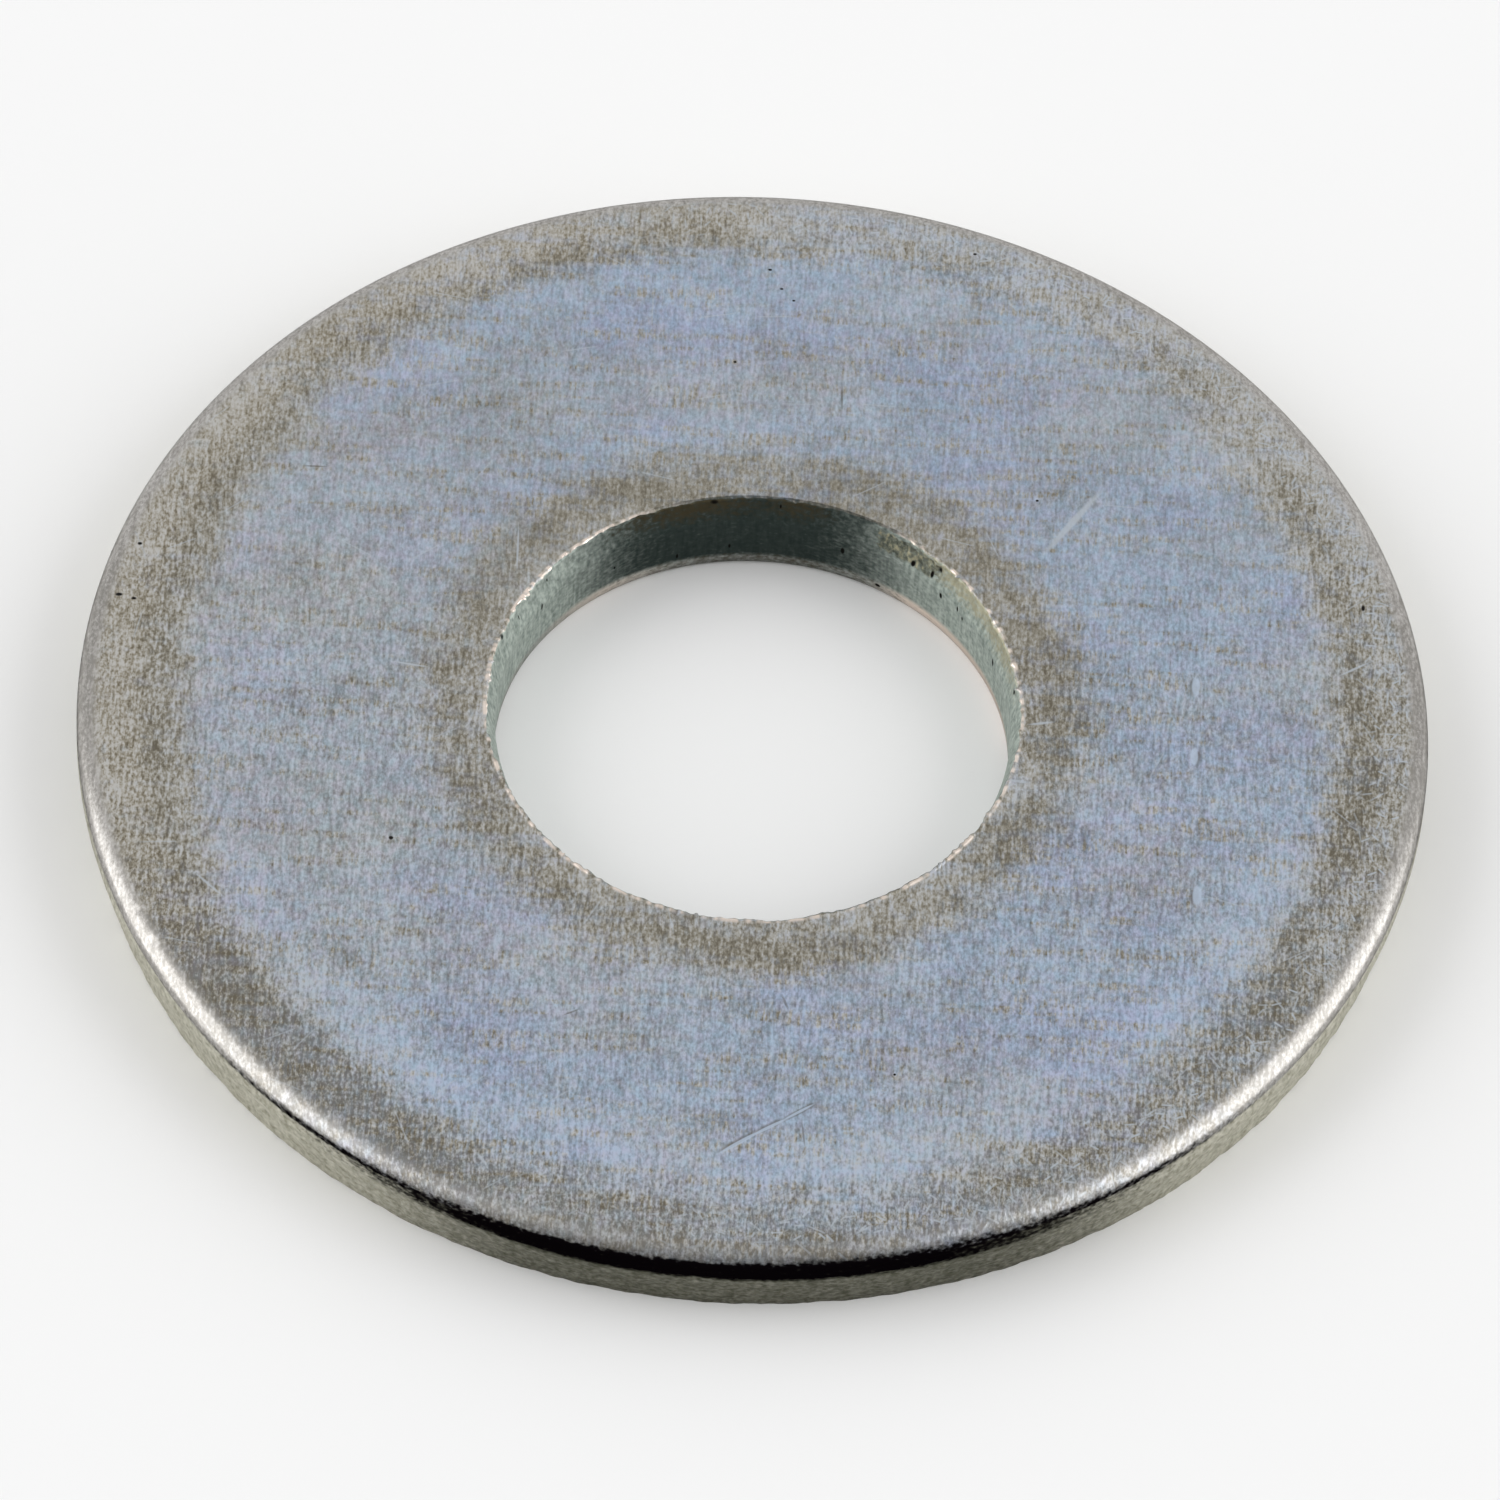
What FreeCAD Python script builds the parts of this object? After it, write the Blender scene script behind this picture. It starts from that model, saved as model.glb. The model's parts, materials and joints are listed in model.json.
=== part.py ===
import FreeCAD, Part
import math
import os

# A flat washer of the large series for an M8 screw, stamped from steel strip and zinc plated.
# All sizes are in millimetres. The washer's axis is Z, its lower face lies at z = 0, and the
# origin is the centre of that face.
#
# The washer is one piece: a single turn of a closed section, whose shape comes from the press
# tool. A sheared edge isn't a plain cylinder but has three zones, one after the other:
#   roll   where the strip's skin is drawn over the cutting edge before the metal parts,
#   land   where the cutting edge burnishes the metal to size,
#   break  where the rest tears off and leaves a rough wall that leans away from the land.
# The bore is pierced first and the rim is blanked round it, by punches that come from the same
# side. What falls from the bore is scrap, but what falls from the rim is the washer itself, so
# the two edges lie end for end: the rim is rolled at the upper face, and the bore at the lower.

# The washer's nominal sizes
outer_diameter = 22.0
bore_diameter = 8.4
thickness = 1.6

# Rim, from the upper face down. Its break takes the rest of the thickness.
rim_roll_width = 0.45
rim_roll_depth = 0.32
rim_land_height = 0.30
rim_break_lean = 0.21

# Bore, from the lower face up. Its land takes the rest of the thickness.
bore_roll_width = 0.11
bore_roll_depth = 0.24
bore_break_height = 0.47
bore_break_lean = 0.137

rim_radius = outer_diameter / 2
bore_radius = bore_diameter / 2


def at(radius, height):
    """A point of the section, which is drawn in the half plane where x is positive."""
    return FreeCAD.Vector(radius, 0, height)


def roll(start, corner, end):
    """A quarter ellipse from start to end, tangent to the two sides that would meet at corner."""
    curve = Part.BezierCurve()
    curve.setPoles([start, corner, end])
    curve.setWeight(2, math.sqrt(0.5))
    return curve.toShape()


def rim_edges():
    """The blanked edge, from the upper face down to the lower one."""
    face_end = at(rim_radius - rim_roll_width, thickness)
    land_top = at(rim_radius, thickness - rim_roll_depth)
    land_foot = land_top - at(0, rim_land_height)
    break_foot = at(rim_radius - rim_break_lean, 0)
    return [
        roll(face_end, at(rim_radius, thickness), land_top),
        Part.makeLine(land_top, land_foot),
        Part.makeLine(land_foot, break_foot),
    ]


def bore_edges():
    """The pierced edge, from the lower face up to the upper one."""
    face_end = at(bore_radius + bore_roll_width, 0)
    land_foot = at(bore_radius, bore_roll_depth)
    land_top = at(bore_radius, thickness - bore_break_height)
    break_top = at(bore_radius + bore_break_lean, thickness)
    return [
        roll(face_end, at(bore_radius, 0), land_foot),
        Part.makeLine(land_foot, land_top),
        Part.makeLine(land_top, break_top),
    ]


def flat_face(edges_before, edges_after):
    """The line of a flat face, which joins the end of one sheared edge to the start of the next."""
    return Part.makeLine(edges_before[-1].Vertexes[-1].Point, edges_after[0].Vertexes[0].Point)


def washer():
    """The closed section, turned once about the washer's axis."""
    rim = rim_edges()
    bore = bore_edges()
    section = Part.Face(Part.Wire([*rim, flat_face(rim, bore), *bore, flat_face(bore, rim)]))
    return section.revolve(FreeCAD.Vector(0, 0, 0), FreeCAD.Vector(0, 0, 1), 360)


os.makedirs("parts", exist_ok=True)
washer().exportStep("parts/washer.step")
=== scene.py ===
import json
import math
from collections import namedtuple

import bpy
import numpy as np
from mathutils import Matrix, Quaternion, Vector


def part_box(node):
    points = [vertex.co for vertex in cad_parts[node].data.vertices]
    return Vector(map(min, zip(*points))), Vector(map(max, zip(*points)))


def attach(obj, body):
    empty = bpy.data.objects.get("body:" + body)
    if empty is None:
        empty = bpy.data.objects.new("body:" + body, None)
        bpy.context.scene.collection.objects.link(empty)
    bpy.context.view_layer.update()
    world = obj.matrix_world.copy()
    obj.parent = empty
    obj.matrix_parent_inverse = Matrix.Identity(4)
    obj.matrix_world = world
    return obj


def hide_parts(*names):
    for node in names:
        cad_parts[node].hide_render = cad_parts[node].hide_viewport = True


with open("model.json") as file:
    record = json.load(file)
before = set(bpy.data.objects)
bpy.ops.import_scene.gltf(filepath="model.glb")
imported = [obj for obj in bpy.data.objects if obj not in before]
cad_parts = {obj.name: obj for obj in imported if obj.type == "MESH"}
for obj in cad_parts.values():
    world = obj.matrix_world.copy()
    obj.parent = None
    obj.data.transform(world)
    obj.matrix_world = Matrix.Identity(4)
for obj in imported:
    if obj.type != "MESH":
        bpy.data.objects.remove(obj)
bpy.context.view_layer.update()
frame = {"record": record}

# The looks of a stamped and zinc-plated flat washer, which lies on a pale floor in a light tent.
# All lengths are in metres. The washer's axis is Z, and its lower face lies at z = 0.
# Bearings on the washer are in degrees from +X towards +Y. The camera stands at -90.

MM = 0.001

low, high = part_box("washer")
mounts = {mount["name"]: mount for mount in frame["record"]["mounts"]}
outer_radius = high.x
thickness = high.z - low.z
bore_radius = mounts["bore"]["dims"]["r_mm"] * MM

# The zones of the two sheared edges, as the solid has them
rim_roll_width = 0.45 * MM
rim_roll_depth = 0.32 * MM
rim_land_height = 0.30 * MM
rim_break_lean = 0.21 * MM
bore_roll_width = 0.11 * MM
bore_roll_depth = 0.24 * MM
bore_break_height = 0.47 * MM
bore_break_lean = 0.137 * MM

land_top = thickness - rim_roll_depth
land_foot = land_top - rim_land_height
bore_edge = bore_radius + bore_break_lean

# What only the looks have: a burr round the bore's upper edge, for which the face lies a little
# lower, and a face that sinks a little before it rolls over the rim
burr_rise = 0.022 * MM
burr_width = 0.11 * MM
shoulder_width = 1.0 * MM
shoulder_drop = 0.02 * MM

# The faces' two rings, in which the blue is rubbed off, as radii
bore_ring_full = 4.8 * MM
bore_ring_end = 6.0 * MM
rim_ring_start = 8.9 * MM
rim_ring_full = 9.7 * MM

bump_height = 0.003 * MM
steps_around = 1000
random = np.random.default_rng(7)


# ---------------------------------------------------------------- the form of the sheared edges

def relief(around, along, size_around, size_along, radius, waves=60):
    """Smooth noise of unit spread over bearings and heights, closed round the washer.

    It is a sum of waves with random directions, whose bumps are about as large as the sizes given."""
    total = np.zeros(np.broadcast(around, along).shape)
    for _ in range(waves):
        turns = round(random.normal() * math.pi * radius / size_around)
        rate = random.normal() * math.pi / size_along
        total += np.cos(turns * around + rate * along + random.uniform(0, 2 * math.pi))
    return total * math.sqrt(2 / waves)


def between(value, start, end):
    """0 up to start, 1 from end on, and a smooth step from one to the other."""
    share = np.clip((value - start) / (end - start), 0, 1)
    return share * share * (3 - 2 * share)


def lobe(around, bearing, half_width, full_width=0):
    """1 up to full_width from a bearing, falling to 0 at half_width from it, all in degrees."""
    away = np.abs((np.degrees(around) - bearing + 180) % 360 - 180)
    return between(away, half_width, full_width)


def quarter_ellipse(start, corner, end, steps):
    """Points on the quarter ellipse from start to end whose sides meet at corner, without start."""
    turn = np.linspace(0, math.pi / 2, steps + 1)[1:, None]
    start, corner, end = map(np.array, (start, corner, end))
    return corner + (start - corner) * (1 - np.sin(turn)) + (end - corner) * (1 - np.cos(turn))


def straight(start, end, steps):
    """Evenly spaced points from start to end, without start."""
    share = np.linspace(0, 1, steps + 1)[1:, None]
    return np.array(start) * (1 - share) + np.array(end) * share


def section():
    """The washer's closed section as radii and heights, and the zone that each point lies in."""
    top = thickness - burr_rise
    bore_top = (bore_edge, top)
    burr_foot = (bore_top[0] + burr_width, top)
    shoulder_start = (outer_radius - rim_roll_width - shoulder_width, top)
    rim_face_end = (outer_radius - rim_roll_width, top)
    rim_land_top = (outer_radius, land_top)
    rim_land_foot = (outer_radius, land_foot)
    rim_foot = (outer_radius - rim_break_lean, 0)
    bore_face_end = (bore_radius + bore_roll_width, 0)
    bore_land_foot = (bore_radius, bore_roll_depth)
    bore_land_top = (bore_radius, thickness - bore_break_height)
    parts = [
        ("burr", straight(bore_top, burr_foot, 9)),
        ("face", straight(burr_foot, shoulder_start, 14)),
        ("face", straight(shoulder_start, rim_face_end, 10)),
        ("roll", quarter_ellipse(rim_face_end, (outer_radius, top), rim_land_top, 16)),
        ("land", straight(rim_land_top, rim_land_foot, 7)),
        ("break", straight(rim_land_foot, rim_foot, 12)),
        ("under", straight(rim_foot, bore_face_end, 8)),
        ("bore_roll", quarter_ellipse(bore_face_end, (bore_radius, 0), bore_land_foot, 6)),
        ("bore_land", straight(bore_land_foot, bore_land_top, 8)),
        ("bore_break", straight(bore_land_top, bore_top, 9)),
    ]
    points = np.vstack([part for _, part in parts])
    zones = np.concatenate([[name] * len(part) for name, part in parts])
    return points[:, :1], points[:, 1:], zones[:, None]


def rim_relief(around, radius, height, zones):
    """What the press left on the rim: a sinking face, a wandering land foot and a torn wall."""
    upper = np.isin(zones, ["face", "roll"])
    wall = np.isin(zones, ["land", "break"])
    torn = zones == "break"

    start = outer_radius - rim_roll_width - shoulder_width
    sinking = -shoulder_drop * between(radius, start, outer_radius) * upper

    wander = 0.018 * MM * relief(around, 0, 3 * MM, 1, outer_radius)
    wander += 0.010 * MM * relief(around, 0, 0.6 * MM, 1, outer_radius)
    wandering = wander * between(height, 0, land_foot) * between(height, land_top, land_foot) * wall

    coarse = relief(around, height, 0.5 * MM, 0.2 * MM, outer_radius)
    fine = relief(around, height, 0.2 * MM, 0.15 * MM, outer_radius)
    depth = 0.014 * MM + 0.006 * MM * coarse + 0.006 * MM * fine
    tearing = -np.maximum(depth, 0) * between(height, land_foot, land_foot - 0.08 * MM) * torn

    return tearing, sinking + wandering


def dent(around, along, bearing, place, width, length, radius):
    """1 in the middle of a dent at a bearing in degrees and a place along the wall, 0 far from it."""
    turned = (around - math.radians(bearing)) * radius / width
    moved = (along - place) / length
    return np.exp(-(turned ** 2 + moved ** 2))


def dings(around, radius):
    """How deep small knocks have pressed each point of the rolled rim in."""
    depth = 0
    for bearing, place, size, press in [
        (-150.5, 10.85, 0.06, 0.018), (-154, 10.80, 0.05, 0.012), (-136, 10.86, 0.05, 0.008),
        (-41, 10.80, 0.05, 0.008), (38, 10.82, 0.08, 0.016), (131, 10.85, 0.06, 0.012),
    ]:
        share = dent(around, radius, bearing, place * MM, size * MM, size * MM, outer_radius)
        depth = depth + press * MM * share
    return depth


def gouges(around, height):
    """How deep the torn spots in the bore's upper wall are."""
    depth = 0
    for bearing, place, width, tall, press in [
        (47, 1.38, 0.05, 0.12, 0.05), (53, 1.30, 0.09, 0.09, 0.05), (57, 1.40, 0.06, 0.10, 0.06),
        (62, 1.32, 0.05, 0.12, 0.04), (50, 1.46, 0.10, 0.04, 0.04), (-110, 1.36, 0.12, 0.10, 0.05),
    ]:
        share = dent(around, height, bearing, place * MM, width * MM, tall * MM, bore_radius)
        depth = depth + press * MM * share
    return depth


def bore_relief(around, radius, height, zones):
    """What the press left on the bore: a torn upper wall with gouges, and a ragged burr."""
    torn = zones == "bore_break"

    coarse = relief(around, height, 0.3 * MM, 0.5 * MM, bore_radius)
    depth = 0.006 * MM * coarse * between(height, thickness - bore_break_height, thickness)
    depth = depth + gouges(around, height)

    ragged = relief(around, 0, 0.12 * MM, 1, bore_edge)
    waving = relief(around, 0, 0.6 * MM, 1, bore_edge)
    nibs = np.maximum(relief(around, 0, 0.10 * MM, 1, bore_edge) - 1.4, 0)
    from_edge = (radius - bore_edge) / burr_width
    crest = np.exp(-(((from_edge - 0.33) / 0.24) ** 2)) * between(from_edge, 1, 0.7)
    rounding = np.exp(-((from_edge / 0.10) ** 2))
    share = np.clip(0.55 + 0.2 * ragged + 0.2 * waving + 0.4 * nibs, 0.05, 1)
    rise = (burr_rise * share * crest - 0.02 * MM * rounding) * (zones == "burr")
    near_edge = between(from_edge, 1, 0) * (zones == "burr")
    near_edge = near_edge + between(height, thickness - 0.15 * MM, thickness) * torn
    inward = (0.008 * MM * ragged + 0.010 * MM * waving + 0.03 * MM * nibs) * near_edge
    return depth * torn - inward, rise


def washer_form():
    """The section carried round the axis with its relief: bearings, radii, heights and zones."""
    radius, height, zones = section()
    around = np.linspace(-math.pi, math.pi, steps_around, endpoint=False)[None, :]
    rim_out, rim_up = rim_relief(around, radius, height, zones)
    bore_out, bore_up = bore_relief(around, radius, height, zones)
    pressed = dings(around, radius) * (zones == "roll")
    formed_radius = radius + rim_out + bore_out - 0.6 * pressed
    formed_height = height + rim_up + bore_up - 0.8 * pressed
    return around, formed_radius, formed_height, zones


def grid_mesh(name, co):
    """A mesh object from a grid of points that closes both ways."""
    rows, columns = co.shape[:2]
    index = np.arange(rows * columns).reshape(rows, columns)
    right = np.roll(index, -1, axis=1)
    down = np.roll(index, -1, axis=0)
    corner = np.roll(right, -1, axis=0)
    quads = np.stack([index, down, corner, right], axis=-1).reshape(-1, 4)
    mesh = bpy.data.meshes.new(name)
    mesh.vertices.add(rows * columns)
    mesh.vertices.foreach_set("co", co.reshape(-1).astype(np.float32))
    mesh.loops.add(quads.size)
    mesh.loops.foreach_set("vertex_index", quads.reshape(-1).astype(np.int32))
    mesh.polygons.add(len(quads))
    mesh.polygons.foreach_set("loop_start", np.arange(0, quads.size, 4, dtype=np.int32))
    mesh.update(calc_edges=True)
    mesh.validate()
    mesh.shade_smooth()
    piece = bpy.data.objects.new(name, mesh)
    bpy.context.scene.collection.objects.link(piece)
    return piece


def write_value(piece, name, values):
    """Keeps one number per vertex on the mesh, for its material to read."""
    made = piece.data.attributes.new(name, "FLOAT", "POINT")
    made.data.foreach_set("value", np.ascontiguousarray(values, dtype=np.float32).reshape(-1))


# ---------------------------------------------------------------- node trees

def srgb(red, green, blue):
    """A linear colour with alpha from the 0 to 255 values of a screen."""
    def linear(value):
        value /= 255
        return value / 12.92 if value <= 0.04045 else ((value + 0.055) / 1.055) ** 2.4
    return (linear(red), linear(green), linear(blue), 1.0)


Look = namedtuple("Look", "colour roughness height")
Ways = namedtuple("Ways", "radius across along side front reach")

LIGHT_MARK = Look(srgb(200, 208, 216), 0.3, 0.5)
BROWN_MARK = Look(srgb(104, 98, 88), 0.5, 0.2)
BLACK_MARK = Look(srgb(44, 42, 40), 0.7, 0.0)
PALE_SPOT = Look(srgb(206, 222, 242), 0.3, 1.0)
# The burr's pale metal, brightened into a painted highlight
BURR_AND_GLINT = Look(srgb(254, 239, 226), 0.26, 0.5)
BROWN_FILM = Look(srgb(84, 72, 48), 0.6, 0.6)
OCHRE_FILM = Look(srgb(182, 168, 130), 0.6, 0.6)
# Near-black, painted on the rim's front as shade and used for the dark line under the roll
BLACK_LINE_AND_PAINTED_BAND = Look(srgb(12, 8, 11), 0.6, 0.5)
BORE_PIT = Look(srgb(26, 24, 22), 0.7, 0.0)


class Tree:
    """Short calls that add nodes. An input is a value or another node's output socket."""

    def __init__(self, owner):
        owner.use_nodes = True
        self.nodes = owner.node_tree.nodes
        self.links = owner.node_tree.links
        self.nodes.clear()

    def set(self, socket, value):
        if isinstance(value, bpy.types.NodeSocket):
            self.links.new(value, socket)
        else:
            socket.default_value = value

    def add(self, kind, inputs=None, **settings):
        node = self.nodes.new(kind)
        for name, value in settings.items():
            setattr(node, name, value)
        for name, value in (inputs or {}).items():
            self.set(node.inputs[name], value)
        return node

    def math(self, operation, *values):
        return self.add("ShaderNodeMath", dict(enumerate(values)), operation=operation).outputs[0]

    def sum(self, *values):
        """The sum of all the values."""
        total = values[0]
        for value in values[1:]:
            total = self.math("ADD", total, value)
        return total

    def times(self, *values):
        """The product of all the values."""
        product = values[0]
        for value in values[1:]:
            product = self.math("MULTIPLY", product, value)
        return product

    def most(self, *values):
        """The largest of the values."""
        largest = values[0]
        for value in values[1:]:
            largest = self.math("MAXIMUM", largest, value)
        return largest

    def scaled(self, value, factor, offset=0.0):
        return self.math("MULTIPLY_ADD", value, factor, offset)

    def vector(self, operation, *values, output="Vector"):
        node = self.add("ShaderNodeVectorMath", dict(enumerate(values)), operation=operation)
        return node.outputs[output]

    def step(self, value, start, end):
        """0 up to start, 1 from end on, and a smooth step from one to the other."""
        inputs = {"Value": value, "From Min": start, "From Max": end}
        node = self.add("ShaderNodeMapRange", inputs, interpolation_type="SMOOTHSTEP")
        return node.outputs["Result"]

    def band(self, value, start, full, until, end):
        """1 from full until until, falling to 0 at start and at end."""
        return self.times(self.step(value, start, full), self.step(value, end, until))

    def mix(self, share, first, second):
        """first where share is 0 and second where it is 1, for colours."""
        node = self.add("ShaderNodeMix", data_type="RGBA")
        self.set(node.inputs[0], share)
        self.set(node.inputs[6], first)
        self.set(node.inputs[7], second)
        return node.outputs[2]

    def multiply(self, share, colour, factor):
        """A colour, multiplied by factor where share is 1."""
        node = self.add("ShaderNodeMix", data_type="RGBA", blend_type="MULTIPLY")
        self.set(node.inputs[0], share)
        self.set(node.inputs[6], colour)
        self.set(node.inputs[7], factor)
        return node.outputs[2]

    def blend(self, share, first, second):
        """first where share is 0 and second where it is 1, for numbers."""
        node = self.add("ShaderNodeMix", data_type="FLOAT")
        self.set(node.inputs[0], share)
        self.set(node.inputs[2], first)
        self.set(node.inputs[3], second)
        return node.outputs[0]

    def cover(self, under, share, over):
        """One look where share is 0 and another where it is 1."""
        colour = self.mix(share, under.colour, over.colour)
        roughness = self.blend(share, under.roughness, over.roughness)
        return Look(colour, roughness, self.blend(share, under.height, over.height))

    def ramp(self, value, *stops):
        """A colour ramp through (position, colour) stops."""
        node = self.add("ShaderNodeValToRGB", {"Fac": value})
        elements = node.color_ramp.elements
        while len(elements) < len(stops):
            elements.new(0.5)
        for element, (position, colour) in zip(elements, stops):
            element.position = position
            element.color = colour
        return node.outputs["Color"]

    def noise(self, places, size, detail=2.0, roughness=0.5, shift=0.0):
        """Noise with an even spread about 0.5, whose bumps have the three lengths given."""
        scaled = self.vector("DIVIDE", places, Vector(size))
        moved = self.vector("ADD", scaled, Vector((shift, 1.7 * shift, 0.6 * shift)))
        inputs = {"Vector": moved, "Scale": 1.0, "Detail": detail, "Roughness": roughness}
        return self.add("ShaderNodeTexNoise", inputs).outputs["Fac"]

    def cells(self, places, size, shift=0.0):
        """Scattered points about size apart: the way to the nearest, and its three random numbers."""
        scaled = self.vector("DIVIDE", places, Vector((size, size, size)))
        moved = self.vector("ADD", scaled, Vector((shift, shift, 0)))
        node = self.add("ShaderNodeTexVoronoi", {"Vector": moved, "Scale": 1.0}, voronoi_dimensions="2D")
        way = self.vector("SUBTRACT", moved, node.outputs["Position"])
        numbers = self.add("ShaderNodeSeparateXYZ", {"Vector": node.outputs["Color"]}).outputs
        return way, numbers

    def read(self, name):
        return self.add("ShaderNodeAttribute", attribute_name=name).outputs["Fac"]

    def film_and_shade(self, name, uneven, start, end):
        """How thickly a film lies, be it a stain or a painted shade, from the mesh's number for it and an
        uneven edge.
        """
        thickness = self.read(name)
        share = self.step(self.math("ADD", thickness, uneven), start, end)
        return self.times(share, self.step(thickness, 0.0, 0.12))


# ---------------------------------------------------------------- marks on the faces

def hairlines(tree, places, size, length, width, share, shift):
    """Scattered hairline scratches, one in a share of the cells, each at an angle of its own."""
    way, numbers = tree.cells(places, size, shift)
    angle = tree.scaled(numbers["X"], math.tau)
    turned = tree.add("ShaderNodeVectorRotate", {"Vector": way, "Angle": angle}, rotation_type="Z_AXIS")
    parts = tree.add("ShaderNodeSeparateXYZ", {"Vector": turned.outputs[0]}).outputs
    in_length = tree.step(tree.math("ABSOLUTE", parts["X"]), 0.5 * length / size, 0.3 * length / size)
    in_width = tree.step(tree.math("ABSOLUTE", parts["Y"]), 0.5 * width / size, 0.2 * width / size)
    is_there = tree.math("LESS_THAN", numbers["Y"], share)
    return tree.times(in_length, in_width, is_there)


def pits(tree, places, size, widest, share, shift):
    """Scattered small pits, one in a share of the cells."""
    way, numbers = tree.cells(places, size, shift)
    away = tree.vector("LENGTH", way, output="Value")
    reach = tree.scaled(numbers["X"], 0.35 * widest / size, 0.15 * widest / size)
    inside = tree.step(tree.math("DIVIDE", away, reach), 1.0, 0.6)
    return tree.times(inside, tree.math("LESS_THAN", numbers["Y"], share))


def spot(tree, places, middle, turn, size):
    """1 in the middle of an oval spot and 0 outside it, for lengths in metres and a turn about Z."""
    mapping = tree.add("ShaderNodeMapping", {"Vector": places}, vector_type="TEXTURE")
    mapping.inputs["Location"].default_value = middle
    mapping.inputs["Rotation"].default_value = (0, 0, math.radians(turn))
    mapping.inputs["Scale"].default_value = Vector(size) / 2
    inputs = {"Vector": mapping.outputs["Vector"]}
    return tree.add("ShaderNodeTexGradient", inputs, gradient_type="SPHERICAL").outputs["Fac"]


def marks(tree, places, *spots):
    """Spots on the upper face, each given as x, y, length, width and angle, in millimetres and degrees."""
    shares = []
    for x, y, length, width, angle in spots:
        middle = (x * MM, y * MM, thickness)
        size = (length * MM, width * MM, 1.0 * MM)
        shares.append(spot(tree, places, middle, angle, size))
    return tree.most(*shares)


def bore_marks(tree, places, *spots):
    """Spots on the bore's wall, each given as bearing, height, width and height across."""
    shares = []
    for bearing, height, width, tall in spots:
        away = Vector((bore_radius, 0, height * MM))
        away.rotate(Quaternion((0, 0, 1), math.radians(bearing)))
        size = (0.5 * MM, width * MM, tall * MM)
        shares.append(spot(tree, places, away, bearing, size))
    return tree.most(*shares)


# ---------------------------------------------------------------- the zinc's looks

def ways_over(tree, places):
    """Where each place lies: its radius, how far it is to the right and to the back as shares of that,
    and how far it reaches into the outer ring, which wanders and lies further out in front."""
    radius = tree.vector("LENGTH", tree.vector("MULTIPLY", places, Vector((1, 1, 0))), output="Value")
    parts = tree.add("ShaderNodeSeparateXYZ", {"Vector": places}).outputs
    across = tree.math("DIVIDE", parts["X"], radius)
    along = tree.math("DIVIDE", parts["Y"], radius)
    side = tree.times(across, across)
    wander = tree.noise(places, (2.2 * MM, 1.8 * MM, 3 * MM), detail=3, roughness=0.6, shift=20)
    reach = tree.sum(
        radius,
        tree.scaled(wander, 0.9 * MM, -0.45 * MM),
        tree.times(parts["X"], -0.0125),
        tree.scaled(side, 0.37 * MM, -0.37 * MM),
    )
    return Ways(radius, across, along, side, tree.step(along, -0.2, -0.6), reach)


def wear(tree, places, ways):
    """The share of the blue that is rubbed off: in two rings, in rows across and in short threads."""
    wander = tree.noise(places, (2.4 * MM, 1.6 * MM, 3 * MM), detail=3, roughness=0.6)
    rows = tree.noise(places, (1.6 * MM, 0.19 * MM, 3 * MM), detail=2, shift=3)
    threads = tree.noise(places, (0.06 * MM, 0.28 * MM, 0.2 * MM), detail=2, roughness=0.6, shift=4)
    mottle = tree.noise(places, (0.22 * MM, 0.28 * MM, 0.3 * MM), detail=2, shift=6)
    specks = tree.times(tree.step(rows, 0.52, 0.62), tree.step(threads, 0.50, 0.62))
    ring = tree.sum(
        0.54,
        tree.times(ways.side, 0.32),
        tree.times(ways.along, 0.06),
        tree.times(ways.front, -0.10),
    )
    return tree.sum(
        0.15,
        tree.times(specks, 0.45),
        tree.times(tree.step(ways.reach, rim_ring_start, rim_ring_full), ring),
        tree.times(tree.step(ways.radius, bore_ring_end, bore_ring_full), 0.75),
        tree.scaled(wander, 0.6, -0.3),
        tree.scaled(rows, 1.3, -0.65),
        tree.scaled(threads, 0.9, -0.45),
        tree.scaled(mottle, 0.9, -0.45),
    )


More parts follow.
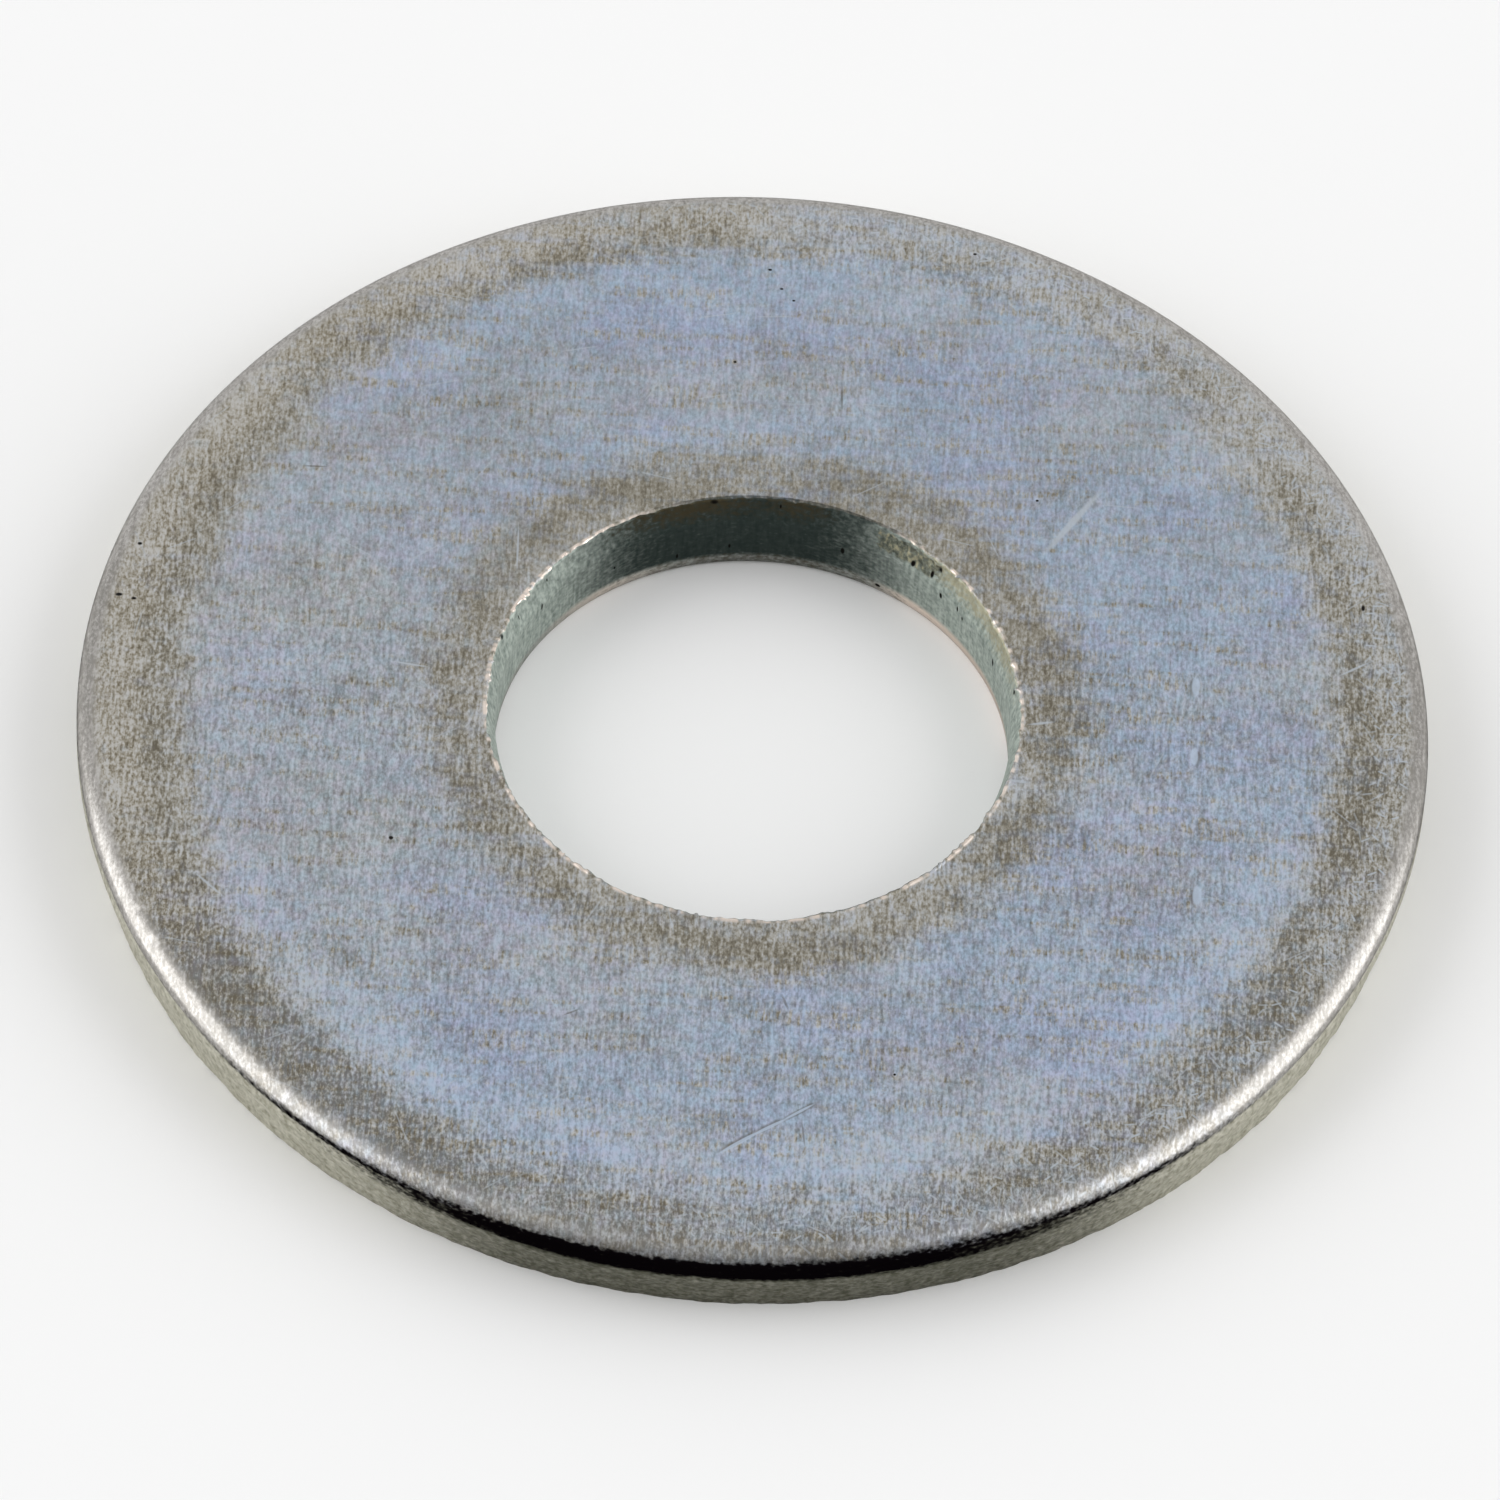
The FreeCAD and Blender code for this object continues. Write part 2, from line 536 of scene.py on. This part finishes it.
def face_tone(tree, places, grain, ways):
    """The grain of the faces under faint clouds, made darker in the rings and paler beside them. Towards the
    rim it is also darker in front and paler at the back, and by the bore paler except at the back; these are
    in part painted shade and painted sheen.
    """
    clouds = tree.noise(places, (1.3 * MM, 1.2 * MM, 2 * MM), detail=3, roughness=0.6, shift=26)
    contrast = tree.sum(
        1.05,
        tree.times(tree.step(ways.along, -0.2, 0.8), -0.35),
        tree.times(tree.step(ways.radius, 9.2 * MM, 9.9 * MM), 0.25),
    )
    dark_ring = tree.band(ways.reach, 9.4 * MM, 9.7 * MM, 9.9 * MM, 10.2 * MM)
    pale = tree.band(ways.radius, 8.4 * MM, 9.0 * MM, 9.3 * MM, 9.8 * MM)
    # Towards the rim: paler at the back left and back right, a painted sheen of the bright tent behind that
    # the shoulder reflects, and darker in front, in part a painted shade of the dark front
    left_behind = tree.step(tree.math("SUBTRACT", ways.along, ways.across), 0.0, 1.0)
    front_ring = tree.times(ways.front, tree.scaled(ways.across, 0.04, -0.06))
    right_behind = tree.step(tree.math("ADD", ways.along, ways.across), 1.0, 1.35)
    # Paler by the bore except at the back, where a painted shade beside the burr is kept
    bright_edge = tree.scaled(tree.step(ways.along, 0.4, 0.9), -0.035, 0.05)
    return tree.sum(
        tree.times(tree.math("SUBTRACT", grain, 0.5), contrast),
        0.51,
        tree.scaled(clouds, 0.24, -0.12),
        tree.times(dark_ring, ways.side, tree.scaled(ways.across, -0.03, -0.045)),
        tree.times(tree.step(ways.reach, 9.5 * MM, 10.0 * MM), front_ring),
        tree.times(tree.step(ways.reach, 9.2 * MM, 9.6 * MM), right_behind, 0.06),
        tree.times(pale, tree.scaled(ways.front, 0.04, 0.02)),
        tree.times(tree.step(ways.radius, 9.9 * MM, 10.5 * MM), left_behind, 0.05),
        tree.times(tree.step(ways.radius, 5.5 * MM, 5.0 * MM), -0.04),
        tree.times(tree.step(ways.radius, 4.85 * MM, 4.65 * MM), bright_edge),
    )


def face_ramp(tree, tone, *colours):
    """A ramp through five screen colours, from the darkest grain to the palest."""
    positions = (0.33, 0.43, 0.50, 0.57, 0.67)
    stops = [(position, srgb(*colour)) for position, colour in zip(positions, colours)]
    return tree.ramp(tone, *stops)


def face_look(tree, places, grain, ways):
    """The flat faces: bluish zinc with an upright grain, greyer on the left and brown where worn."""
    tone = face_tone(tree, places, grain, ways)
    blue = face_ramp(
        tree, tone,
        (141, 151, 164), (158, 170, 186), (170, 184, 203), (182, 197, 217), (196, 211, 232),
    )
    silver = face_ramp(
        tree, tone,
        (148, 150, 153), (164, 169, 174), (177, 183, 189), (190, 196, 203), (204, 211, 219),
    )
    brown = face_ramp(
        tree, tone,
        (117, 111, 98), (143, 138, 125), (164, 160, 149), (184, 182, 176), (202, 203, 203),
    )
    haze = tree.noise(places, (3.5 * MM, 2.5 * MM, 3 * MM), detail=3, shift=11)
    lavender = tree.noise(places, (2.5 * MM, 2.0 * MM, 3 * MM), detail=2, shift=14)
    speckle = tree.noise(places, (0.16 * MM, 0.22 * MM, 0.2 * MM), detail=2, shift=17)
    on_left = tree.times(tree.step(ways.across, -0.45, -0.9), 0.6)
    greyer = tree.math("ADD", tree.times(tree.step(haze, 0.44, 0.70), 0.7), on_left)
    colour = tree.mix(greyer, blue, silver)
    colour = tree.multiply(tree.step(lavender, 0.45, 0.65), colour, (0.98, 0.96, 1.02, 1))
    colour = tree.multiply(tree.step(speckle, 0.45, 0.70), colour, (1.05, 0.98, 1.0, 1))
    colour = tree.multiply(tree.step(speckle, 0.55, 0.30), colour, (0.94, 1.01, 1.01, 1))
    worn = wear(tree, places, ways)
    colour = tree.mix(worn, colour, brown)
    warm_ring = tree.times(tree.step(ways.radius, 9.7 * MM, 10.2 * MM), tree.step(ways.across, 0.4, -0.4))
    warm_ring = tree.times(warm_ring, tree.scaled(ways.front, -0.6, 1.0))
    colour = tree.multiply(warm_ring, colour, (1.03, 1.0, 0.955, 1))
    roughness = tree.blend(worn, 0.36, 0.46)
    return Look(colour, roughness, tree.scaled(grain, 2.2))


def roll_look(tree, grain, ways):
    """The roll: smooth, with a fine grain, and darker in front and at the far left and right, painted shade
    where it reflects the dark front and no lamp.
    """
    painted_dark = tree.math("ADD", ways.front, tree.step(ways.side, 0.88, 1.0))
    tone = tree.math("ADD", grain, tree.times(painted_dark, -0.11))
    colour = tree.ramp(
        tone,
        (0.33, srgb(158, 155, 150)),
        (0.50, srgb(189, 186, 182)),
        (0.67, srgb(214, 212, 208)),
    )
    return Look(colour, 0.26, tree.scaled(grain, 0.5))


def rim_wall_look(tree, places):
    """The wall of the rim: olive grey and mottled, with streaks along the edge."""
    mottle = tree.noise(places, (0.11 * MM, 0.11 * MM, 0.13 * MM), detail=3, roughness=0.65)
    streaks = tree.noise(places, (0.6 * MM, 0.6 * MM, 0.05 * MM), detail=2, shift=5)
    tone = tree.blend(0.15, mottle, streaks)
    colour = tree.ramp(
        tone,
        (0.34, srgb(164, 162, 146)),
        (0.50, srgb(196, 194, 180)),
        (0.66, srgb(217, 215, 203)),
    )
    return Look(colour, 0.68, tree.scaled(tone, 2.5))


def bore_wall_look(tree, places):
    """The bore's wall: greenish grey with upright streaks."""
    streaks = tree.noise(places, (0.07 * MM, 0.07 * MM, 0.5 * MM), detail=2, shift=9)
    mottle = tree.noise(places, (0.08 * MM, 0.08 * MM, 0.08 * MM), detail=2, shift=2)
    tone = tree.blend(0.5, mottle, streaks)
    colour = tree.ramp(
        tone,
        (0.34, srgb(142, 152, 146)),
        (0.50, srgb(175, 184, 177)),
        (0.66, srgb(202, 210, 203)),
    )
    return Look(colour, 0.7, tree.scaled(tone, 1.8))


def torn_look(tree, places):
    """The torn patch in the bore: crumbs of ochre and grey with dark gaps."""
    crumbs = tree.noise(places, (0.09 * MM, 0.09 * MM, 0.12 * MM), detail=3, roughness=0.6, shift=23)
    colour = tree.ramp(
        crumbs,
        (0.36, srgb(66, 66, 56)),
        (0.50, srgb(116, 118, 102)),
        (0.64, srgb(178, 170, 140)),
    )
    return Look(colour, 0.5, tree.scaled(crumbs, 6.0))


def face_grain(tree, places):
    """The upright grain of the rolled strip, with longer strokes in it."""
    fine = tree.noise(places, (0.048 * MM, 0.085 * MM, 0.06 * MM), detail=2, roughness=0.65)
    strokes = tree.noise(places, (0.06 * MM, 0.45 * MM, 0.1 * MM), detail=1, shift=4)
    return tree.blend(0.35, fine, strokes)


def with_hairlines(tree, places, ways, look):
    """Fine hairlines all over the faces, and short dense ones near the rim on the right."""
    at_rim = tree.step(ways.radius, 9.6 * MM, 10.4 * MM)
    near_rim = tree.times(at_rim, tree.step(ways.across, -0.7, 0.3))
    lines = tree.most(
        tree.times(hairlines(tree, places, 0.9 * MM, 0.7 * MM, 0.035 * MM, 0.25, 1.0), 0.4),
        tree.times(hairlines(tree, places, 0.4 * MM, 0.35 * MM, 0.04 * MM, 0.5, 5.0), near_rim, 0.6),
        tree.times(hairlines(tree, places, 0.23 * MM, 0.2 * MM, 0.045 * MM, 0.5, 8.0), near_rim, 0.8),
    )
    return tree.cover(look, lines, LIGHT_MARK)


def with_face_marks(tree, places, look):
    """The stains, scratches, pale spots and pits that stand out on the upper face, and three dents drawn in
    colour with a painted shade on one side.
    """
    stains_and_dent_shade = marks(
        tree, places,
        (0.75, -5.95, 0.44, 0.07, -69), (1.14, -8.53, 0.75, 0.05, -82), (-2.66, -6.37, 0.43, 0.05, 29),
        (-7.42, 4.53, 0.49, 0.05, 1), (1.19, 6.56, 0.81, 0.05, -88), (0.12, -8.74, 1.2, 0.14, 37),
        (0.59, -8.42, 1.0, 0.14, 34), (1.05, -8.11, 1.2, 0.14, 36),
        # These three are dents drawn in colour: each brown oval lies a little left of a pale one, so only a
        # dark rim on one side shows, a painted shade for the dent's wall
        (7.13, 0.86, 0.45, 0.20, 90), (7.24, -0.57, 0.4, 0.18, 90), (7.25, -3.42, 0.45, 0.22, 90),
    )
    look = tree.cover(look, tree.times(tree.step(stains_and_dent_shade, 0.0, 0.7), 0.6), BROWN_MARK)
    scratches = marks(
        tree, places,
        (5.06, 4.16, 2.1, 0.16, 57), (-4.00, 3.05, 1.19, 0.05, -89), (-5.64, 0.51, 0.8, 0.05, -8),
        (-8.60, -4.19, 0.8, 0.06, -43), (9.77, 1.44, 0.8, 0.06, 33), (4.68, -0.03, 0.53, 0.07, 11),
        (4.35, -1.24, 0.42, 0.08, -5), (-3.92, -9.36, 0.44, 0.06, -54),
    )
    look = tree.cover(look, tree.times(tree.step(scratches, 0.0, 0.6), 0.75), LIGHT_MARK)
    pale_spots = marks(
        tree, places,
        (7.18, 0.89, 0.46, 0.17, 90), (7.18, -0.55, 0.44, 0.16, 90), (7.29, -3.38, 0.5, 0.18, 90),
        (0.14, -8.76, 1.0, 0.08, 37), (0.59, -8.44, 0.8, 0.07, 34), (1.05, -8.11, 0.7, 0.06, 36),
    )
    look = tree.cover(look, tree.times(tree.step(pale_spots, 0.0, 0.4), 0.7), PALE_SPOT)
    face_pits = marks(
        tree, places,
        (-0.11, 9.23, 0.09, 0.06, 0), (0.10, 8.83, 0.08, 0.05, 0), (0.31, 8.59, 0.07, 0.05, 0),
        (9.88, 2.71, 0.08, 0.16, 0), (-10.45, 1.65, 0.16, 0.09, 0), (-10.20, 1.58, 0.11, 0.07, 0),
        (-10.18, 2.73, 0.10, 0.08, 0), (-5.73, -3.06, 0.10, 0.09, 0), (2.55, -7.27, 0.06, 0.06, 0),
        (4.48, 4.60, 0.07, 0.06, 0), (-0.61, 7.21, 0.07, 0.06, 0), (3.29, 9.81, 0.08, 0.06, 0),
    )
    return tree.cover(look, tree.step(face_pits, 0.0, 0.5), BLACK_MARK)


def with_films_and_shade(tree, places, look):
    """The stain films on the edges' walls, the torn patch in the bore, and the painted shade and painted
    black band on the walls.
    """
    uneven = tree.scaled(tree.noise(places, (0.10 * MM, 0.10 * MM, 0.06 * MM), detail=3), 2.0, -1.0)
    # Painted shade on the walls, in place of the shaded floor and dark front that they reflect
    wall_shade = tree.times(tree.film_and_shade("painted_wall_shade", tree.times(uneven, 0.35), 0.0, 1.0), 0.93)
    wall_shade_colour = tree.mix(tree.read("rim_wall"), srgb(34, 46, 44), srgb(62, 64, 50))
    look = tree.cover(look, wall_shade, Look(wall_shade_colour, 0.6, 0.5))
    brown = tree.times(tree.film_and_shade("brown_film", uneven, 0.0, 1.1), 0.65)
    look = tree.cover(look, brown, BROWN_FILM)
    ochre = tree.times(tree.film_and_shade("ochre_film", uneven, 0.0, 1.2), 0.55)
    look = tree.cover(look, ochre, OCHRE_FILM)
    torn = tree.times(tree.film_and_shade("torn_patch", uneven, 0.2, 0.9), 0.8)
    look = tree.cover(look, torn, torn_look(tree, places))
    # Painted shade: the black band on the front of the rim, with the dark line under the roll
    black_line_and_band = tree.film_and_shade("black_line_and_painted_band", tree.times(uneven, 0.6), 0.1, 0.85)
    return tree.cover(look, black_line_and_band, BLACK_LINE_AND_PAINTED_BAND)


def with_pits(tree, places, look):
    """The pits that stand out in the bore, and small ones scattered all over the washer."""
    bore_pits = bore_marks(
        tree, places,
        (9.6, 1.42, 0.13, 0.13), (23, 0.98, 0.08, 0.24), (37.4, 0.94, 0.05, 0.13), (39.3, 1.05, 0.05, 0.18),
        (45, 0.99, 0.08, 0.18), (47, 1.43, 0.12, 0.20), (48.5, 1.28, 0.09, 0.20), (54, 1.22, 0.10, 0.14),
        (71.6, 0.76, 0.09, 0.20), (86.4, 1.46, 0.05, 0.10), (97.4, 0.51, 0.05, 0.12), (101, 1.55, 0.20, 0.12),
        (109.4, 0.42, 0.05, 0.14), (125, 0.68, 0.05, 0.08), (144.3, 1.44, 0.05, 0.09),
        (156, 1.39, 0.04, 0.14), (147.7, 1.06, 0.06, 0.20), (164, 1.55, 0.13, 0.15),
        (62.6, 0.22, 0.13, 0.10),
    )
    look = tree.cover(look, tree.step(bore_pits, 0.0, 0.5), BORE_PIT)
    return tree.cover(look, pits(tree, places, 0.9 * MM, 0.16 * MM, 0.08, 7.0), BLACK_MARK)


def zinc_plate():
    """The material of the whole washer. Its mesh says where each zone lies."""
    material = bpy.data.materials.new("zinc_plate")
    tree = Tree(material)
    places = tree.add("ShaderNodeTexCoord").outputs["Object"]
    ways = ways_over(tree, places)
    grain = face_grain(tree, places)

    look = face_look(tree, places, grain, ways)
    look = with_hairlines(tree, places, ways, look)
    look = with_face_marks(tree, places, look)
    look = tree.cover(look, tree.read("rolled"), roll_look(tree, grain, ways))
    look = tree.cover(look, tree.read("rim_wall"), rim_wall_look(tree, places))
    look = tree.cover(look, tree.read("bore_wall"), bore_wall_look(tree, places))
    # The burr, in part a painted highlight, and painted highlights on the bore's roll
    look = tree.cover(look, tree.read("burr"), BURR_AND_GLINT)
    look = with_films_and_shade(tree, places, look)
    look = with_pits(tree, places, look)

    bump = tree.add("ShaderNodeBump", {"Strength": 1.0, "Distance": bump_height, "Height": look.height})
    inputs = {
        "Base Color": look.colour,
        "Roughness": look.roughness,
        "Metallic": 1.0,
        "Specular Tint": (0.45, 0.45, 0.45, 1),
        "Normal": bump.outputs["Normal"],
    }
    shader = tree.add("ShaderNodeBsdfPrincipled", inputs)
    tree.add("ShaderNodeOutputMaterial", {"Surface": shader.outputs["BSDF"]})
    return material


def burr_share(radius, zones):
    """1 on the burr's bright crest, falling to 0 on its outer slope."""
    slope = between(radius, bore_edge + 0.8 * burr_width, bore_edge + 0.4 * burr_width)
    return slope * (zones == "burr")


def write_zones(piece, around, radius, zones):
    """Tells the material where the rolls and the walls lie."""
    roll_start = outer_radius - rim_roll_width
    all_round = np.ones_like(radius)
    on_wall = np.isin(zones, ["land", "break"])
    in_bore = np.isin(zones, ["bore_land", "bore_break"])
    on_bore_roll = zones == "bore_roll"
    rolled = between(radius, roll_start + 0.05 * MM, roll_start + 0.25 * MM) * (zones == "roll")
    # Painted shade: less of the roll's pale look in front, where it reflects the dark camera side
    rolled = rolled * (1 - 0.6 * lobe(around, -90, 60, 25))
    write_value(piece, "rolled", rolled + 0.8 * on_bore_roll)
    write_value(piece, "rim_wall", on_wall * all_round)
    write_value(piece, "bore_wall", in_bore + 0.4 * on_bore_roll * all_round)


def write_burr_and_glint(piece, around, radius, zones):
    """Tells the material where the metal is bright: on the ragged burr, brightest where the side lamps would
    glint and dim at the back, in part a painted highlight, and a painted highlight on the bore's roll at the
    back left and back right.
    """
    ragged = relief(around, 0, 0.8 * MM, 1, bore_edge)
    ragged = ragged + 1.2 * relief(around, 0, 0.12 * MM, 1, bore_edge)
    # In part painted highlight: bright where the side lamps would glint, dimmed at the back
    burr_glint = between(ragged, -1.4, 1.6) * (1 - 0.75 * lobe(around, 86, 42, 20))
    burr_glint = burr_glint * (0.85 + 0.65 * lobe(around, 137, 24, 8) + 0.5 * lobe(around, 46, 18, 8))
    burr_glint = np.clip(burr_glint, 0, 1)
    lip_glint = 0.9 * lobe(around, 34, 34, 18) + 0.5 * lobe(around, 128, 22)
    write_value(piece, "burr", burr_share(radius, zones) * burr_glint + lip_glint * (zones == "bore_roll"))


def write_black_line_and_painted_band(piece, around, height, zones):
    """A band of painted shade on the land in front, for the dark camera side it reflects, and above it a dark
    line under the roll that runs on further to both sides.
    """
    on_rim = np.isin(zones, ["roll", "land", "break"])
    rising = 0.16 * MM * (1 - lobe(around, -88, 50, 5))
    higher = 0.06 * MM * lobe(around, -62, 34, 8)
    band = between(height, land_foot - 0.19 * MM + rising, land_foot + 0.04 * MM + rising)
    band = band * between(height, land_top + 0.17 * MM + higher, land_top)
    # The band is painted shade, for the dark camera side that the front land reflects
    band = band * lobe(around, -91, 48, 12)
    line = between(height, land_top - 0.12 * MM, land_top - 0.04 * MM)
    line = line * between(height, land_top + 0.11 * MM + higher, land_top)
    line_share = np.maximum(0.8 * lobe(around, -91, 60, 34), 0.45 * lobe(around, 62, 30))
    line_share = np.maximum(line_share, 0.45 * lobe(around, 180, 34) + 0.45 * lobe(around, 0, 24))
    write_value(piece, "black_line_and_painted_band", np.maximum(band, line * line_share) * on_rim)


def write_painted_wall_shade(piece, around, radius, height, zones):
    """Painted shade on the walls, for the shaded floor and dark front they reflect: darkest at the back of
    the bore and the front of the rim, with some on the burr and bore roll at the back and at the rim's far
    left and right.
    """
    on_wall = np.isin(zones, ["land", "break"])
    in_bore = np.isin(zones, ["bore_land", "bore_break"])
    bore_shade = np.maximum(lobe(around, 96, 57, 12), 0.7 * lobe(around, -60, 60)) * in_bore
    edge_shade = 0.50 * lobe(around, 88, 40, 8) * (zones == "bore_roll")
    edge_shade = edge_shade + 0.7 * lobe(around, 84, 42, 16) * burr_share(radius, zones)
    rim_shade = 0.70 * between(lobe(around, -86, 57), 0.0, 0.8) + 0.40 * lobe(around, 180, 32)
    rim_shade = (rim_shade + 0.40 * lobe(around, 0, 32)) * on_wall
    fringe = lobe(around, -92, 44) * between(height, land_foot - 0.16 * MM, land_foot) * on_wall
    rim_shade = np.minimum(rim_shade + 0.45 * fringe, 0.95)
    write_value(piece, "painted_wall_shade", bore_shade + edge_shade + rim_shade)


def write_stains(piece, around, height, zones):
    """Brown and ochre stains under the bore's upper edge and on its roll, and the torn patch."""
    in_bore = np.isin(zones, ["bore_land", "bore_break"])
    below_edge = between(height, thickness - 0.50 * MM, thickness - 0.10 * MM) * in_bore
    brown = np.maximum(lobe(around, 106, 26), 0.8 * lobe(around, 83, 12)) * below_edge
    brown = brown + 0.45 * lobe(around, 90, 50, 20) * (zones == "bore_roll")
    write_value(piece, "brown_film", brown)
    write_value(piece, "ochre_film", lobe(around, 32, 30, 10) * below_edge)
    torn_heights = between(height, 1.12 * MM, 1.25 * MM) * between(height, 1.56 * MM, 1.48 * MM)
    write_value(piece, "torn_patch", lobe(around, 55.5, 10.5, 5) * torn_heights * in_bore)


def washer():
    """The one piece: a dense skin over the washer's solid."""
    around, radius, height, zones = washer_form()
    co = np.stack([radius * np.cos(around), radius * np.sin(around), height], axis=-1)
    piece = grid_mesh("stamped_washer", co)
    write_zones(piece, around, radius, zones)
    write_burr_and_glint(piece, around, radius, zones)
    write_black_line_and_painted_band(piece, around, height, zones)
    write_painted_wall_shade(piece, around, radius, height, zones)
    write_stains(piece, around, height, zones)
    piece.data.materials.append(zinc_plate())
    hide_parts("washer")
    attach(piece, "root")


# ---------------------------------------------------------------- the studio

def light_tent():
    """A grey tent with a soft lamp on each side, and darker in front, where the camera stands.

    Bearings here are counted from the front, the same to the left and to the right."""
    lamp_strength = 2.4
    low_in_front = 0.22
    low_behind = 0.75
    overhead = 0.6
    world = bpy.data.worlds.new("light_tent")
    bpy.context.scene.world = world
    tree = Tree(world)
    direction = tree.add("ShaderNodeTexCoord").outputs["Generated"]
    parts = tree.add("ShaderNodeSeparateXYZ", {"Vector": direction}).outputs
    bearing = tree.math("ARCTAN2", tree.math("ABSOLUTE", parts["X"]), tree.math("MULTIPLY", parts["Y"], -1.0))
    height = tree.math("ARCSINE", parts["Z"])

    def turned(value, start, end):
        return tree.step(value, math.radians(start), math.radians(end))

    lamp = tree.times(turned(bearing, 44, 58), turned(bearing, 122, 104), turned(height, 63, 52))
    front = tree.blend(turned(height, 2, 75), low_in_front, overhead)
    behind = tree.blend(turned(height, 45, 80), low_behind, overhead)
    cloth = tree.blend(turned(bearing, 40, 100), front, behind)
    strength = tree.blend(lamp, cloth, lamp_strength)
    background = tree.add("ShaderNodeBackground", {"Color": (1, 1, 1, 1), "Strength": strength})
    tree.add("ShaderNodeOutputWorld", {"Surface": background.outputs[0]})


def floor():
    """A pale matt floor, three metres wide."""
    half = 1.5
    paper = (0.9, 0.9, 0.9, 1)
    mesh = bpy.data.meshes.new("floor")
    corners = [(-half, -half, 0), (half, -half, 0), (half, half, 0), (-half, half, 0)]
    mesh.from_pydata(corners, [], [(0, 1, 2, 3)])
    piece = bpy.data.objects.new("floor", mesh)
    bpy.context.scene.collection.objects.link(piece)
    material = bpy.data.materials.new("floor_paper")
    tree = Tree(material)
    shader = tree.add("ShaderNodeBsdfPrincipled", {"Base Color": paper, "Roughness": 0.9})
    tree.add("ShaderNodeOutputMaterial", {"Surface": shader.outputs["BSDF"]})
    mesh.materials.append(material)


def camera():
    """A long lens in front of the washer and above it, tipped a little about its line of sight."""
    elevation = math.radians(52.351)
    distance = 228.85 * MM
    tip = math.radians(3.0)
    aim = Vector((-0.0246 * MM, 0.3284 * MM, 0))
    data = bpy.data.cameras.new("camera")
    data.lens = 336
    data.sensor_width = 36
    data.clip_start = 0.001
    data.clip_end = 10
    piece = bpy.data.objects.new("camera", data)
    piece.location = (0, -distance * math.cos(elevation), distance * math.sin(elevation))
    look = (aim - piece.location).to_track_quat("-Z", "Y")
    piece.rotation_mode = "QUATERNION"
    piece.rotation_quaternion = look @ Quaternion((0, 0, 1), tip)
    bpy.context.scene.collection.objects.link(piece)
    bpy.context.scene.camera = piece


camera()
light_tent()
floor()
washer()
bpy.context.scene.view_settings.view_transform = "Standard"
